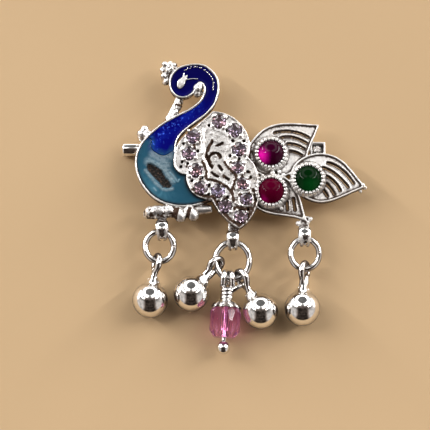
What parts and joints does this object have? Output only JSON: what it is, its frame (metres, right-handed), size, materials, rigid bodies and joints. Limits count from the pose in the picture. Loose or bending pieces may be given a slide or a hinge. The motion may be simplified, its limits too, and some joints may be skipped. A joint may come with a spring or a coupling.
{
  "type": "saree pin",
  "caption": "Cast silver peacock pin with enamelled neck, stone-set wing, pierced feathers with cabochons, and ball and crystal drops on jump rings.",
  "frame": {"origin": "centre of the bounding box on the surface that the pin lies on, back down", "axes": "+X to the right of the front view towards the feathers, +Y up from the drops to the crest, +Z from the back towards the viewer"},
  "size_m": [0.0366, 0.0444, 0.0053],
  "materials": {
    "cast_silver": "cast silver, softly polished, tarnished dark in the recesses",
    "polished_silver": "polished silver with a warm, worn shine",
    "blue_enamel": "glossy deep blue enamel",
    "teal_enamel": "glossy teal enamel, crusted and chipped at the breast",
    "white_stone": "faceted clear stone",
    "ruby": "polished cabochon",
    "green_stone": "polished cabochon",
    "pink_crystal": "faceted crystal"
  },
  "bodies": {
    "root": {"silver_casting": "cast_silver", "pin_stem": "polished_silver", "blue_enamel": "blue_enamel", "teal_enamel": "teal_enamel", "white_stone_01": "white_stone", "white_stone_02": "white_stone", "white_stone_03": "white_stone", "white_stone_04": "white_stone", "white_stone_05": "white_stone", "white_stone_06": "white_stone", "white_stone_07": "white_stone", "white_stone_08": "white_stone", "white_stone_09": "white_stone", "white_stone_10": "white_stone", "white_stone_11": "white_stone", "white_stone_12": "white_stone", "white_stone_13": "white_stone", "ruby_cabochon_upper": "ruby", "ruby_cabochon_lower": "ruby", "green_cabochon": "green_stone", "jump_ring_left": "polished_silver", "jump_ring_middle": "polished_silver", "jump_ring_right": "polished_silver", "ball_drop_left": "polished_silver", "ball_drop_mid_left": "polished_silver", "ball_drop_mid_right": "polished_silver", "ball_drop_right": "polished_silver", "bead_cap": "polished_silver", "head_pin": "polished_silver", "crystal_bead": "pink_crystal"}
  },
  "joints": []
}
